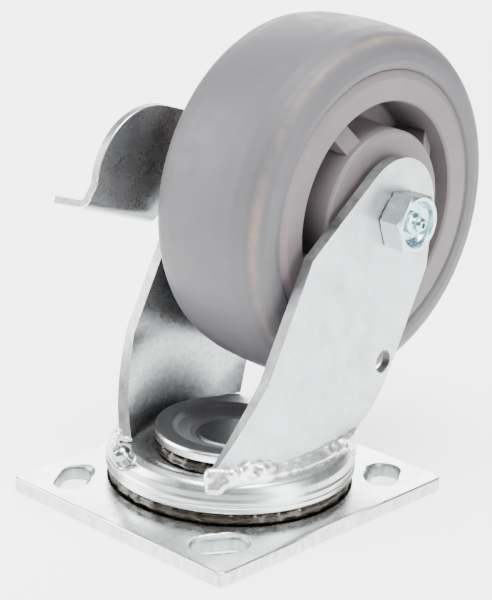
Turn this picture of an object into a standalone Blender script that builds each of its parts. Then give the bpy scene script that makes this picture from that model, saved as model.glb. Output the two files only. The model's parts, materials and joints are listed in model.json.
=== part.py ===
"""Heavy-duty swivel plate caster with a ribbed 5 inch wheel and a side brake lever.

It stands on its mounting plate, wheel upwards.  The origin is on the swivel axis at the
plate's mounting face, +X runs along the wheel's axle, +Y towards the side that the wheel
is offset to and +Z from the plate to the wheel.  Lengths are millimetres times MM.
"""
import math

import bmesh
import bpy
from mathutils import Matrix, Vector

MM = 0.001
GAP = 0.3

# Mounting plate and its bolt slots
PLATE_X, PLATE_Y, PLATE_T = 101.6, 114.3, 5.0
PLATE_CORNER = 3.0
RACE_TOP, RACE_R, RACE_FOOT_R = 5.65, 43.4, 46.0
SLOT_CENTRE = (35.7, 42.05)
SLOT_TRAVEL = (4.8, -7.9)
SLOT_W = 10.3

# Swivel bearing
LOWER_PITCH_R, LOWER_Z, LOWER_BALL_R, LOWER_BALLS = 39.0, 8.05, 3.95, 30
UPPER_PITCH_R, UPPER_Z, UPPER_BALL_R, UPPER_BALLS = 23.5, 18.25, 3.17, 22
PIN_R, PIN_HEAD_R, PIN_SHOULDER_R = 8.0, 12.3, 12.5
BASE_R, BASE_LOW, BASE_TOP = 43.9, 10.55, 21.0
BASE_SHOULDER = ((38.6, BASE_TOP), (40.4, 20.6), (42.4, 18.4), (43.4, 16.0), (BASE_R, 14.9))
RETAINER_R, RETAINER_LOW, RETAINER_TOP = 27.3, 21.05, 24.85

# Axle line, in Y and Z
AXLE_Y, AXLE_Z, AXLE_R = 43.0, 100.25, 6.35

# Fork legs: a flat blank whose foot is rolled round the swivel axis
LEG_T, LEG_OUT_X = 4.0, 34.0
LEG_FOOT_Z = BASE_TOP + GAP
ROLL_FULL_Z = 17.3
EYE_Y, EYE_Z, EYE_R = AXLE_Y - 0.7, AXLE_Z + 1.8, 19.7
FRONT_CORNER, REAR_CORNER = (-0.5, 94.15), (60.4, 78.95)
FRONT_SLOPE, REAR_SLOPE = 0.489, 0.48
ROLL_Y, ROLL_CURVATURE = 2.0, 0.0193
ROLL_FRONT_TOP, ROLL_REAR_TOP = 54.5, 62.0
ROLL_FRONT_POWER, ROLL_REAR_POWER = 0.69, 5.0
LEG_HOLE_Y, LEG_HOLE_Z, LEG_HOLE_R = 40.2, 48.35, 4.0
WELD_REACH = 43.35

# Wheel
WHEEL_R, WHEEL_HALF_W = 64.0, 25.35
SEAT_R, SEAT_X = 50.0, 24.9
RIM_IN_R, RIM_FACE_X = 39.2, 25.3
BOSS_R, BOSS_X = 29.0, 27.2
WEB_X, BORE_R = 5.0, 16.0
RIBS, RIB_W, RIB_START = 4, 7.8, 120.0
RIB_HUB_X, RIB_RIM_X = 24.8, 17.7

# Roller bearing and its sleeve
SLEEVE_R, SLEEVE_HALF = 9.5, 29.6
ROLLERS, ROLLER_R, ROLLER_PITCH_R, ROLLER_HALF = 8, 2.9, 12.75, 20.0
CAGE_IN_R, CAGE_OUT_R, CAGE_HALF = 11.2, 14.3, 23.0
END_WASHER_X = (23.6, 25.4)

# Axle bolt, nut and brake lever, listed outwards from the legs
HEX_AF = 19.05
HEX_TURN = -9.0
HEAD_OUT_X = 43.1
RECESS_R, RECESS_X = 8.0, 39.3
CAM_X = (-37.7, -34.5)
CAM_R, LUG_R, LUG_PITCH_R = 16.0, 1.8, 10.8
LEVER_IN_X, LEVER_T = -38.0, 3.2
LEVER_TILT, LEVER_TRAVEL = 19.3, 35.0
LEVER_BOSS_R = 17.0
PADDLE_CENTRE, PADDLE_R = (48.5, -9.1), 25.3
PEDAL_FROM, PEDAL_TO, PEDAL_LOW, PEDAL_OUT = 39.0, 74.0, -25.2, 18.6
PEDAL_BEND_R, PEDAL_OPEN = 4.8, 6.7
NUT_WASHER_X = (-43.5, -41.5)
NUT_X = (-54.8, -43.8)
AXLE_END_X = -57.0

STEEL = (0.62, 0.64, 0.65)
COLLECTION = "swivel_caster"


def clear_scene():
    for old in list(bpy.data.objects):
        bpy.data.objects.remove(old, do_unlink=True)


def collection(name):
    made = bpy.data.collections.new(name)
    bpy.context.scene.collection.children.link(made)
    return made


def material(name, colour, roughness, metallic):
    made = bpy.data.materials.new(name)
    made.use_nodes = True
    shader = made.node_tree.nodes["Principled BSDF"]
    shader.inputs["Base Color"].default_value = (*colour, 1.0)
    shader.inputs["Roughness"].default_value = roughness
    shader.inputs["Metallic"].default_value = metallic
    return made


def add_object(name, mesh, paint=None):
    """Link a mesh as a part, or as a cutter when it has no paint."""
    made = bpy.data.objects.new(name, mesh)
    if paint is None:
        CUTTERS.objects.link(made)
        made.hide_render = True
        made.display_type = "WIRE"
    else:
        PARTS.objects.link(made)
        mesh.materials.append(paint)
        mesh.shade_smooth()
    return made


def from_bmesh(name, bm, paint=None):
    bmesh.ops.recalc_face_normals(bm, faces=bm.faces)
    mesh = bpy.data.meshes.new(name)
    bm.to_mesh(mesh)
    bm.free()
    return add_object(name, mesh, paint)


def turned(name, profile, steps, paint=None, along_x=False):
    """Turn (radius, height) points, outer side downwards, about Z or about the axle."""
    mesh = bpy.data.meshes.new(name)
    points = [(r * MM, 0.0, z * MM) for r, z in profile]
    edges = [(i, i + 1) for i in range(len(points) - 1)]
    if profile[0][0] > 0.0:
        edges.append((len(points) - 1, 0))
    mesh.from_pydata(points, edges, [])
    made = add_object(name, mesh, paint)
    screw = made.modifiers.new("Turn", "SCREW")
    screw.steps = steps
    screw.render_steps = steps
    screw.use_merge_vertices = True
    screw.merge_threshold = 0.00002
    if along_x:
        made.rotation_euler = (0.0, math.pi / 2, 0.0)
        made.location = (0.0, AXLE_Y * MM, AXLE_Z * MM)
    return made


def tube_profile(inner, outer, low, high):
    return [(outer, high), (outer, low), (inner, low), (inner, high)]


def disc_profile(radius, low, high):
    return [(0.0, high), (radius, high), (radius, low), (0.0, low)]


def arc(centre, radius, start, end, count):
    """Points on an arc; angles in degrees, from the first axis towards the second."""
    points = []
    for i in range(count + 1):
        angle = math.radians(start + (end - start) * i / count)
        points.append((centre[0] + radius * math.cos(angle), centre[1] + radius * math.sin(angle)))
    return points


def prism(name, outline, low, high, paint=None):
    """Extrude a flat outline in XY between two heights."""
    bm = bmesh.new()
    base = bm.faces.new([bm.verts.new((x * MM, y * MM, low * MM)) for x, y in outline])
    raised = bmesh.ops.extrude_face_region(bm, geom=[base])
    tops = [v for v in raised["geom"] if isinstance(v, bmesh.types.BMVert)]
    bmesh.ops.translate(bm, verts=tops, vec=(0.0, 0.0, (high - low) * MM))
    return from_bmesh(name, bm, paint)


def across_axle(made):
    """Lay a shape drawn in XY and extruded along Z over YZ at the axle, extruded along X."""
    made.matrix_world = (Matrix.Translation((0.0, AXLE_Y * MM, AXLE_Z * MM))
                         @ Matrix(((0, 0, 1, 0), (1, 0, 0, 0), (0, 1, 0, 0), (0, 0, 0, 1))))
    return made


def boolean(made, tool, operation="DIFFERENCE"):
    step = made.modifiers.new(operation.title(), "BOOLEAN")
    step.object = tool
    step.operation = operation
    step.solver = "EXACT"


def hexagon():
    circumradius = HEX_AF / math.sqrt(3.0)
    return arc((0.0, 0.0), circumradius, HEX_TURN, HEX_TURN + 300.0, 5)


def ball_groove(name, pitch, height, ball):
    """A ring cutter that leaves the running gap round the balls."""
    outline = arc((pitch, height), ball + GAP, 90.0, -240.0, 11)
    return turned(name, outline, 40)


def ball_ring(name, pitch, height, ball, count, paint):
    """A full row of balls, joined by the thread of grease between them."""
    sides, cuts, neck = 6, 4, 0.45
    spacing = 2.0 * math.pi * pitch / count
    bm = bmesh.new()
    rows = []
    for i in range(count * cuts):
        offset = spacing * min(i % cuts, cuts - i % cuts) / cuts
        radius = max(math.sqrt(max(ball ** 2 - offset ** 2, 0.0)), neck * ball)
        turn = 2.0 * math.pi * i / (count * cuts)
        row = []
        for r, z in arc((pitch, height), radius, 0.0, 360.0 * (sides - 1) / sides, sides - 1):
            row.append(bm.verts.new((r * math.cos(turn) * MM, r * math.sin(turn) * MM, z * MM)))
        rows.append(row)
    for i, row in enumerate(rows):
        following = rows[(i + 1) % len(rows)]
        for j in range(sides):
            k = (j + 1) % sides
            bm.faces.new((row[j], row[k], following[k], following[j]))
    return from_bmesh(name, bm, paint)


def roll_curvature(z, rear):
    """How tightly a leg is rolled at a height: full at the foot, flat higher up."""
    top = ROLL_REAR_TOP if rear else ROLL_FRONT_TOP
    power = ROLL_REAR_POWER if rear else ROLL_FRONT_POWER
    share = min(max((top - z) / (top - ROLL_FULL_Z), 0.0), 1.0)
    return max(ROLL_CURVATURE * share ** power, 1e-6)


def leg_point(blank_y, z, depth):
    """Where a point of the flat blank lands, at a depth under the leg's outer face."""
    along = blank_y - ROLL_Y
    curvature = roll_curvature(z, along > 0.0)
    angle = curvature * along
    x = LEG_OUT_X - (1.0 - math.cos(angle)) / curvature - depth * math.cos(angle)
    y = ROLL_Y + math.sin(angle) / curvature - depth * math.sin(angle)
    return x, y


def leg_edges(z):
    """Front and rear edge of the leg's blank at a height."""
    front_y, front_z = FRONT_CORNER
    rear_y, rear_z = REAR_CORNER
    to_eye = math.hypot(EYE_Y - front_y, EYE_Z - front_z)
    taper = math.asin(EYE_R / to_eye) + math.atan2(EYE_Z - front_z, EYE_Y - front_y)
    tangent_z = EYE_Z + EYE_R * math.cos(taper)
    half_chord = math.sqrt(max(EYE_R ** 2 - (z - EYE_Z) ** 2, 0.0))
    if z < front_z:
        front = front_y - FRONT_SLOPE * (front_z - z)
    elif z < tangent_z:
        front = front_y + (z - front_z) / math.tan(taper)
    else:
        front = EYE_Y - half_chord
    if z < rear_z:
        rear = rear_y - REAR_SLOPE * (rear_z - z)
    elif z < EYE_Z:
        rear = rear_y + (EYE_Y + EYE_R - rear_y) * (z - rear_z) / (EYE_Z - rear_z)
    else:
        rear = EYE_Y + half_chord
    return front, rear


def leg_heights():
    rolled = [LEG_FOOT_Z, 24.0, 27.5, 31.0, 35.5, 40.0, 44.5, 49.5, 54.5, 62.0]
    straight = [REAR_CORNER[1], FRONT_CORNER[1], EYE_Z]
    eye = [EYE_Z + EYE_R * math.sin(math.radians(a)) for a in (18, 34, 47, 58, 68, 77, 85)]
    return rolled + straight + eye


def leg(name, side, paint):
    """A fork leg: outer and inner grids of points joined round the rim."""
    columns = 8
    bm = bmesh.new()
    faces_rows = []
    for depth in (0.0, LEG_T):
        rows = []
        for z in leg_heights():
            front, rear = leg_edges(z)
            row = []
            for i in range(columns + 1):
                x, y = leg_point(front + (rear - front) * i / columns, z, depth)
                row.append(bm.verts.new((side * x * MM, y * MM, z * MM)))
            rows.append(row)
        for low, high in zip(rows, rows[1:]):
            for i in range(columns):
                bm.faces.new((low[i], low[i + 1], high[i + 1], high[i]))
        faces_rows.append(rows)
    outer, inner = faces_rows
    loops = []
    for rows in (outer, inner):
        up = [row[-1] for row in rows]
        down = [row[0] for row in reversed(rows)]
        loops.append(rows[0] + up[1:] + rows[-1][-2::-1] + down[1:-1])
    for i in range(len(loops[0])):
        k = (i + 1) % len(loops[0])
        bm.faces.new((loops[0][i], loops[0][k], loops[1][k], loops[1][i]))
    made = from_bmesh(name, bm, paint)
    boolean(made, across_axle(prism(name + "_axle_hole", arc((0, 0), AXLE_R + GAP, 0, 345, 23), -60, 60)))
    centre = (LEG_HOLE_Y - AXLE_Y, LEG_HOLE_Z - AXLE_Z)
    boolean(made, across_axle(prism(name + "_small_hole", arc(centre, LEG_HOLE_R, 0, 330, 11), -60, 60)))
    return made


def shoulder_height(r):
    """Height of the base's top at a radius, on its shoulder or inside it."""
    for (near_r, near_z), (far_r, far_z) in zip(BASE_SHOULDER, BASE_SHOULDER[1:]):
        if near_r < r <= far_r:
            return near_z + (far_z - near_z) * (r - near_r) / (far_r - near_r)
    return BASE_TOP


def leg_weld(name, side, paint):
    """The lumpy fillet weld along the outside of a leg's foot."""
    stations = 22
    section = ((0.0, 0.0), (0.35, 0.0), (0.7, 0.0), (1.0, 0.0), (0.85, 0.4), (0.5, 0.8), (0.0, 1.0), (0.0, 0.5))
    front, rear = leg_edges(LEG_FOOT_Z)
    bm = bmesh.new()
    rows = []
    for i in range(stations + 1):
        share = i / stations
        blank_y = front - 2.5 + (rear - front + 0.5) * share
        ends = math.sin(math.pi * min(max(share, 0.03), 0.97)) ** 0.3
        width = ends * (3.8 - 0.8 * share + 0.5 * math.sin(9.0 * share) + 0.3 * math.sin(23.0 * share))
        height = ends * (4.4 - 1.2 * share + 0.6 * math.sin(7.0 * share) + 0.4 * math.sin(19.0 * share))
        row = []
        for out, up in section:
            x, y = leg_point(blank_y, LEG_FOOT_Z + height * up, -GAP - width * out)
            pull = min(WELD_REACH / math.hypot(x, y), 1.0)
            x, y = pull * x, pull * y
            toe_z = min(shoulder_height(math.hypot(x, y)) + 1.5 * GAP, LEG_FOOT_Z)
            z = toe_z + (LEG_FOOT_Z + height - toe_z) * up
            row.append(bm.verts.new((side * x * MM, y * MM, z * MM)))
        rows.append(row)
    for low, high in zip(rows, rows[1:]):
        for j in range(len(low)):
            k = (j + 1) % len(low)
            bm.faces.new((low[j], low[k], high[k], high[j]))
    bm.faces.new(rows[0])
    bm.faces.new(rows[-1])
    return from_bmesh(name, bm, paint)


def mounting_plate(paint):
    bm = bmesh.new()
    size = Matrix.Diagonal((PLATE_X * MM, PLATE_Y * MM, PLATE_T * MM, 1.0))
    bmesh.ops.create_cube(bm, size=1.0, matrix=Matrix.Translation((0, 0, PLATE_T / 2 * MM)) @ size)
    upright = [e for e in bm.edges if abs(e.verts[0].co.z - e.verts[1].co.z) > MM]
    bmesh.ops.bevel(bm, geom=upright, offset=PLATE_CORNER * MM, segments=3, profile=0.5, affect="EDGES")
    made = from_bmesh("mounting_plate", bm, paint)
    boss = [(0.0, RACE_TOP), (RACE_R, RACE_TOP), (RACE_FOOT_R, PLATE_T - 1.0), (0.0, PLATE_T - 1.0)]
    boolean(made, turned("race_boss", boss, 40), "UNION")
    boolean(made, ball_groove("plate_groove", LOWER_PITCH_R, LOWER_Z, LOWER_BALL_R))
    seat_r = PIN_HEAD_R + GAP
    sink = [(0.0, 9.0), (PIN_R + GAP, 9.0), (PIN_R + GAP, 3.6), (seat_r, GAP), (seat_r, -1.0), (0.0, -1.0)]
    boolean(made, turned("pin_hole", sink, 24))
    for across in (-1, 1):
        for along in (-1, 1):
            boolean(made, prism(f"slot_{across}_{along}", slot_outline(across, along), -1.0, 9.0))
    return made


def slot_outline(across, along):
    """A slanted bolt slot in one quarter of the plate."""
    slant = math.degrees(math.atan2(SLOT_TRAVEL[1] * along, SLOT_TRAVEL[0] * across))
    half = math.hypot(*SLOT_TRAVEL) / 2
    run = (half * math.cos(math.radians(slant)), half * math.sin(math.radians(slant)))
    middle = (SLOT_CENTRE[0] * across, SLOT_CENTRE[1] * along)
    first = arc((middle[0] + run[0], middle[1] + run[1]), SLOT_W / 2, slant - 90, slant + 90, 8)
    second = arc((middle[0] - run[0], middle[1] - run[1]), SLOT_W / 2, slant + 90, slant + 270, 8)
    return first + second


def kingpin(paint):
    """The riveted swivel pin: flush foot, shoulder under the retainer and flat head."""
    head_low = 19.35
    profile = [(0.0, 22.15), (PIN_HEAD_R - 0.5, 22.15), (PIN_HEAD_R, 21.65), (PIN_HEAD_R, head_low),
               (PIN_R, head_low), (PIN_R, 16.55), (PIN_SHOULDER_R, 16.55),
               (PIN_SHOULDER_R, RACE_TOP + GAP), (PIN_R, RACE_TOP + GAP), (PIN_R, 3.3),
               (PIN_HEAD_R, 0.0), (0.0, 0.0)]
    return turned("kingpin", profile, 24, paint)


def yoke_base(paint):
    """The round base that turns between the two ball rows."""
    lower = arc((LOWER_PITCH_R, LOWER_Z), LOWER_BALL_R + GAP, 36.0, 144.0, 4)
    upper = arc((UPPER_PITCH_R, UPPER_Z), UPPER_BALL_R + GAP, -145.0, -35.0, 4)
    lip_z, hole_r = 16.25, 16.0
    profile = [*BASE_SHOULDER, (BASE_R, 13.4), (43.3, 13.0), (BASE_R, 12.6), (BASE_R, 11.2),
               (43.2, BASE_LOW)]
    profile += lower
    profile += [(hole_r, BASE_LOW), (hole_r, lip_z)]
    profile += upper
    profile += [(28.0, 15.95), (31.0, 18.6), (35.0, BASE_TOP)]
    made = turned("yoke_base", profile, 36, paint)
    boolean(made, fitting_placed(turned("fitting_seat", disc_profile(4.4, 0.0, 12.0), 16)))
    boolean(made, fitting_placed(turned("fitting_hole", disc_profile(2.6, -4.6, 1.0), 16)))
    return made


def fitting_placed(made):
    """Put a shape on the swivel fitting's axis, which leans outwards at the base's rim."""
    bearing = math.radians(-105.0)
    seat_r, seat_z = 41.1, 18.5
    place = Vector((seat_r * math.cos(bearing) * MM, seat_r * math.sin(bearing) * MM, seat_z * MM))
    made.location = place
    made.rotation_euler = (0.0, math.radians(38.0), bearing)
    return made


def swivel_fitting(paint):
    profile = [(0.0, 7.6), (1.5, 7.4), (2.6, 6.6), (3.3, 5.2), (3.5, 1.2), (3.9, 1.0),
               (3.9, GAP), (2.2, GAP), (2.2, -4.0), (0.0, -4.0)]
    return fitting_placed(turned("swivel_grease_fitting", profile, 16, paint))


def retainer(paint):
    """The dished washer over the upper balls, held under the kingpin's head."""
    race = arc((UPPER_PITCH_R, UPPER_Z), UPPER_BALL_R + GAP, 54.0, 180.0, 5)
    hub_r, hub_low, seat_r = PIN_R + GAP, 16.85, PIN_HEAD_R + GAP
    profile = [(26.4, RETAINER_TOP), (RETAINER_R, 24.15), (RETAINER_R, 21.55), (26.6, RETAINER_LOW)]
    profile += race
    profile += [(19.2, hub_low), (hub_r, hub_low), (hub_r, 19.05), (seat_r, 19.05),
                (seat_r, 21.85), (20.4, 24.35), (21.8, RETAINER_TOP)]
    return turned("retainer_washer", profile, 36, paint)


def axle_bolt(paint):
    """A hollow bolt whose hexagon head holds a grease fitting in its recess."""
    shaft = [(0.0, 35.0), (AXLE_R, 35.0), (AXLE_R, AXLE_END_X + 0.8), (AXLE_R - 0.8, AXLE_END_X),
             (0.0, AXLE_END_X)]
    made = turned("axle_bolt", shaft, 24, paint, along_x=True)
    head_in_x = LEG_OUT_X + GAP
    boolean(made, across_axle(prism("head_hex", hexagon(), head_in_x, HEAD_OUT_X)), "UNION")
    crown = [(0.0, HEAD_OUT_X + 1), (20.0, HEAD_OUT_X + 1), (20.0, HEAD_OUT_X - 8.0),
             (9.4, HEAD_OUT_X), (0.0, HEAD_OUT_X)]
    boolean(made, turned("head_crown", crown, 24, along_x=True))
    bore = [(0.0, HEAD_OUT_X + 2), (RECESS_R, HEAD_OUT_X + 2), (RECESS_R, RECESS_X + 1),
            (RECESS_R - 1, RECESS_X), (2.3, RECESS_X), (2.3, 0.0), (0.0, -1.5)]
    boolean(made, turned("grease_bore", bore, 16, along_x=True))
    outlet = prism("grease_outlet", arc((1.6, AXLE_Y), 1.5, 0.0, 315.0, 7), AXLE_Z, AXLE_Z + 12.0)
    boolean(made, outlet)
    return made


def axle_fitting(paint):
    profile = [(0.0, 45.0), (1.3, 44.9), (2.5, 44.1), (2.6, 43.2), (1.9, 42.5), (2.1, 41.7),
               (3.9, 40.9), (3.9, RECESS_X + GAP), (1.9, RECESS_X + GAP), (1.9, 33.0), (0.0, 33.0)]
    return turned("axle_grease_fitting", profile, 16, paint, along_x=True)


def axle_nut(paint):
    made = across_axle(prism("axle_nut", hexagon(), *NUT_X, paint))
    low, high = NUT_X
    rim = [(20.0, high + 1), (20.0, low - 1), (8.2, low - 1), (8.9, low), (20.0, low + 9)]
    boolean(made, turned("nut_crown", rim, 24, along_x=True))
    boolean(made, turned("nut_bore", disc_profile(AXLE_R + GAP, low - 1, high + 1), 24, along_x=True))
    return made


def cam_washer(paint):
    """A plate keyed to the far leg; its lugs stop the lever at both ends of its travel."""
    made = turned("brake_cam_washer", tube_profile(AXLE_R + GAP, CAM_R, *CAM_X), 32, paint, along_x=True)
    lug_end = LEVER_IN_X - LEVER_T + GAP
    for i in range(3):
        angle = math.radians(120.0 * i + 30.0)
        centre = (LUG_PITCH_R * math.cos(angle), LUG_PITCH_R * math.sin(angle))
        lug = prism(f"cam_lug_{i}", arc(centre, LUG_R, 0.0, 315.0, 7), lug_end, CAM_X[1] - 1.0)
        boolean(made, across_axle(lug), "UNION")
    return made


def lever_sheet():
    """The lever's inner face and the outside of its bent pedal, as an open surface."""
    drop = math.radians(90.0 - PEDAL_OPEN)
    paddle_end = math.degrees(math.asin((PEDAL_LOW + PEDAL_BEND_R - PADDLE_CENTRE[1]) / PADDLE_R))
    outline = arc(PADDLE_CENTRE, PADDLE_R, 90.0, paddle_end + 6.0, 9)
    outline += [(PEDAL_TO, PEDAL_LOW + PEDAL_BEND_R), (PEDAL_FROM, PEDAL_LOW + PEDAL_BEND_R)]
    outline += arc((0.0, 0.0), LEVER_BOSS_R, -62.0, -270.0, 12)
    bm = bmesh.new()

    def lever_vert(u, w, out):
        return bm.verts.new((-u * MM, w * MM, (LEVER_IN_X - out) * MM))

    verts = [lever_vert(u, w, 0.0) for u, w in outline]
    bm.faces.new(verts)
    strip = [verts[10], verts[11]]
    bend = [(PEDAL_BEND_R * math.sin(drop * i / 4), PEDAL_BEND_R * (1 - math.cos(drop * i / 4)))
            for i in range(1, 5)]
    flat = PEDAL_OUT - bend[-1][1]
    bend.append((bend[-1][0] + flat * math.cos(drop), bend[-1][1] + flat * math.sin(drop)))
    for fall, out in bend:
        following = [lever_vert(u, PEDAL_LOW + PEDAL_BEND_R - fall, out) for u in (PEDAL_TO, PEDAL_FROM)]
        bm.faces.new((strip[1], strip[0], following[0], following[1]))
        strip = following
    return bm


def brake_lever(paint):
    """A stamped foot lever on the axle, with its pedal bent outwards."""
    bm = lever_sheet()
    bmesh.ops.recalc_face_normals(bm, faces=bm.faces)
    bm.faces.ensure_lookup_table()
    if bm.faces[0].normal.z < 0.0:
        bmesh.ops.reverse_faces(bm, faces=bm.faces)
    mesh = bpy.data.meshes.new("brake_lever")
    bm.to_mesh(mesh)
    bm.free()
    made = add_object("brake_lever", mesh, paint)
    across_axle(made)
    made.matrix_world = made.matrix_world @ Matrix.Rotation(math.radians(-LEVER_TILT), 4, "Z")
    shell = made.modifiers.new("Sheet", "SOLIDIFY")
    shell.thickness = LEVER_T * MM
    shell.offset = -1.0
    shell.use_even_offset = True
    bore = prism("lever_bore", arc((0.0, 0.0), AXLE_R + GAP, 0.0, 345.0, 23), -60.0, -30.0)
    boolean(made, across_axle(bore))
    for i in range(3):
        boolean(made, across_axle(lever_slot(i)))
    return made


def lever_slot(index):
    """The arc slot that one lug of the cam washer runs in."""
    middle, reach = 120.0 * index + 30.0, LUG_R + GAP
    first, last = middle - LEVER_TRAVEL, middle
    outline = arc((0.0, 0.0), LUG_PITCH_R + reach, first, last, 5)
    end = math.radians(last)
    cap = (LUG_PITCH_R * math.cos(end), LUG_PITCH_R * math.sin(end))
    outline += arc(cap, reach, last, last + 180.0, 6)[1:-1]
    outline += arc((0.0, 0.0), LUG_PITCH_R - reach, last, first, 5)
    start = math.radians(first)
    cap = (LUG_PITCH_R * math.cos(start), LUG_PITCH_R * math.sin(start))
    outline += arc(cap, reach, first + 180.0, first + 360.0, 6)[1:-1]
    return prism(f"lever_slot_{index}", outline, -60.0, -30.0)


def wheel_core(paint):
    """The moulded core: hub, web, ribs and the rim that the tread grips."""
    seat = [(RIM_IN_R + 0.8, RIM_FACE_X), (47.2, RIM_FACE_X), (SEAT_R - 0.2, SEAT_X - 0.7), (49.6, 13.0),
            (51.8, 11.0)]
    side = [(BORE_R, BOSS_X), (BOSS_R - 0.8, BOSS_X), (BOSS_R, BOSS_X - 0.8), (30.2, WEB_X),
            (37.6, WEB_X), (RIM_IN_R, RIM_FACE_X - 0.8)]
    profile = seat + [(r, -x) for r, x in reversed(seat)]
    profile += [(r, -x) for r, x in reversed(side)] + side
    made = turned("wheel_core", profile, 40, paint, along_x=True)
    for i in range(RIBS):
        turn = Matrix.Rotation(math.radians(RIB_START + i * 360.0 / RIBS), 4, "Z")
        outline = [(28.7, -RIB_HUB_X), (39.6, -RIB_RIM_X), (39.6, RIB_RIM_X), (28.7, RIB_HUB_X)]
        rib = across_axle(prism(f"rib_{i}", outline, -RIB_W / 2, RIB_W / 2))
        rib.matrix_world = rib.matrix_world @ turn @ Matrix.Rotation(math.radians(90.0), 4, "X")
        boolean(made, rib, "UNION")
    return made


def tread(paint):
    """The moulded rubber tread with its crown, round shoulders and sloping walls."""
    half = [(WHEEL_R, 0.0), (WHEEL_R - 0.5, 12.5), (WHEEL_R - 1.7, 19.0), (WHEEL_R - 4.9, 23.2),
            (54.2, WHEEL_HALF_W),
            (SEAT_R + GAP, SEAT_X)]
    inside = [(SEAT_R + GAP - 0.2, SEAT_X - 1.2), (49.9, 13.1), (52.1, 11.1)]
    profile = [(r, x) for r, x in reversed(half)] + [(r, -x) for r, x in half[1:]]
    profile += [(r, -x) for r, x in inside] + [(r, x) for r, x in reversed(inside)]
    return turned("tread", profile, 40, paint, along_x=True)


def bearing(steel, cage_paint):
    turned("spanner_bushing", tube_profile(AXLE_R + GAP, SLEEVE_R, -SLEEVE_HALF, SLEEVE_HALF), 24,
           steel, along_x=True)
    cage = turned("roller_cage", tube_profile(CAGE_IN_R, CAGE_OUT_R, -CAGE_HALF, CAGE_HALF), 32,
                  cage_paint, along_x=True)
    for i in range(ROLLERS):
        turn = Matrix.Rotation(math.radians(i * 360.0 / ROLLERS), 4, "Z")
        half, reach = ROLLER_R + GAP, ROLLER_HALF + GAP
        outline = [(9.0, -half), (17.0, -half), (17.0, half), (9.0, half)]
        window = across_axle(prism(f"cage_window_{i}", outline, -reach, reach))
        window.matrix_world = window.matrix_world @ turn
        boolean(cage, window)
        roller = prism(f"roller_{i + 1}", arc((ROLLER_PITCH_R, 0.0), ROLLER_R, 0.0, 324.0, 9),
                       -ROLLER_HALF, ROLLER_HALF, steel)
        across_axle(roller)
        roller.matrix_world = roller.matrix_world @ turn
    low, high = END_WASHER_X
    ring = (SLEEVE_R + GAP, BORE_R - GAP)
    turned("near_bearing_washer", tube_profile(*ring, low, high), 32, steel, along_x=True)
    turned("far_bearing_washer", tube_profile(*ring, -high, -low), 32, steel, along_x=True)


def build():
    zinc = material("zinc_plate", STEEL, 0.38, 1.0)
    bright = material("bright_zinc", (0.70, 0.74, 0.76), 0.25, 1.0)
    dark = material("dark_oiled_steel", (0.20, 0.21, 0.22), 0.35, 1.0)
    greasy = material("greasy_steel", (0.16, 0.13, 0.10), 0.30, 0.8)
    welded = material("weld_metal", (0.78, 0.79, 0.80), 0.30, 1.0)
    core_plastic = material("core_plastic", (0.49, 0.45, 0.46), 0.55, 0.0)
    rubber = material("grey_rubber", (0.37, 0.37, 0.39), 0.60, 0.0)
    cage_plastic = material("cage_plastic", (0.12, 0.12, 0.13), 0.50, 0.0)
    mounting_plate(zinc)
    kingpin(dark)
    retainer(dark)
    ball_ring("lower_ball_row", LOWER_PITCH_R, LOWER_Z, LOWER_BALL_R, LOWER_BALLS, greasy)
    ball_ring("upper_ball_row", UPPER_PITCH_R, UPPER_Z, UPPER_BALL_R, UPPER_BALLS, greasy)
    yoke_base(zinc)
    swivel_fitting(bright)
    for prefix, side in (("near", 1), ("far", -1)):
        leg(prefix + "_leg", side, zinc)
        leg_weld(prefix + "_leg_weld", side, welded)
    axle_bolt(bright)
    axle_fitting(bright)
    cam_washer(zinc)
    brake_lever(zinc)
    turned("nut_washer", tube_profile(AXLE_R + GAP, 13.0, *NUT_WASHER_X), 32, bright, along_x=True)
    axle_nut(bright)
    bearing(dark, cage_plastic)
    wheel_core(core_plastic)
    tread(rubber)


clear_scene()
PARTS = collection(COLLECTION)
CUTTERS = collection("cutters")
build()
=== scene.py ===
import json
import math
import random

import bmesh
import bpy
from mathutils import Matrix, Vector, noise


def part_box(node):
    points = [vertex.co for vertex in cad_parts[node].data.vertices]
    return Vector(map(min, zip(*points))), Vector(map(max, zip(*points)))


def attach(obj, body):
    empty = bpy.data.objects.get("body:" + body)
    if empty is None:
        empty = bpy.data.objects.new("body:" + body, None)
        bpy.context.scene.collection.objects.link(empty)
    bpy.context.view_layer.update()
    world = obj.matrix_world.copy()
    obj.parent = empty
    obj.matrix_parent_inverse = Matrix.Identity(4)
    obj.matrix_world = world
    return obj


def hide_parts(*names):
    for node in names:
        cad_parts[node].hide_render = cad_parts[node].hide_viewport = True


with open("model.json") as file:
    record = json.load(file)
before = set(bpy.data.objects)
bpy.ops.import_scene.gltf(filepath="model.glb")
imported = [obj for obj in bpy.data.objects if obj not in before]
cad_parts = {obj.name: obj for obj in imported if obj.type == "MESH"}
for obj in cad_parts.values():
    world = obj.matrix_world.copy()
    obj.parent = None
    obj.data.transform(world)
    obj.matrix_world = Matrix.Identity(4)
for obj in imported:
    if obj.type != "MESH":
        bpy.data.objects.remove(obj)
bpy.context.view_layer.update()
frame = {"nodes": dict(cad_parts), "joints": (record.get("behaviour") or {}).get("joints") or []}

# The looks of a swivel plate caster standing on its mounting plate.  Shapes are drawn in
# millimetres and turned into metres by MM; places and sizes come from the CAD frame.
MM = 0.001


# ---- sizes from the frame

def low(node):
    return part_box(node)[0] / MM


def high(node):
    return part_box(node)[1] / MM


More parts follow.
